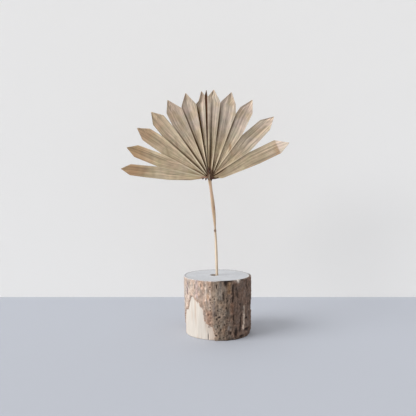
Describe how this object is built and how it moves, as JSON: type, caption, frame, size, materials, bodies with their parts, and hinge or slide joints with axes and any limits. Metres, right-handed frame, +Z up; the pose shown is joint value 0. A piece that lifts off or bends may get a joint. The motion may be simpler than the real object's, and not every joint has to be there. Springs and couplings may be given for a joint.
{
  "type": "dried palm frond in a log stand",
  "caption": "Dried fan palm frond with pleated, pointed segments on a slim stalk, standing in a hole bored in a short upright log.",
  "frame": {"origin": "centre of the log's flat underside, which stands on the surface", "axes": "+Z up, -Y is the side the leaf's front face looks towards, +X to the right seen from the front"},
  "size_m": [0.2463, 0.099, 0.36],
  "materials": {
    "dried_leaf": "matte",
    "stalk": "satin",
    "bark": "matte",
    "bare_wood": "matte"
  },
  "bodies": {
    "root": {"palm_frond": "dried_leaf", "log_holder": "bark"}
  },
  "joints": []
}
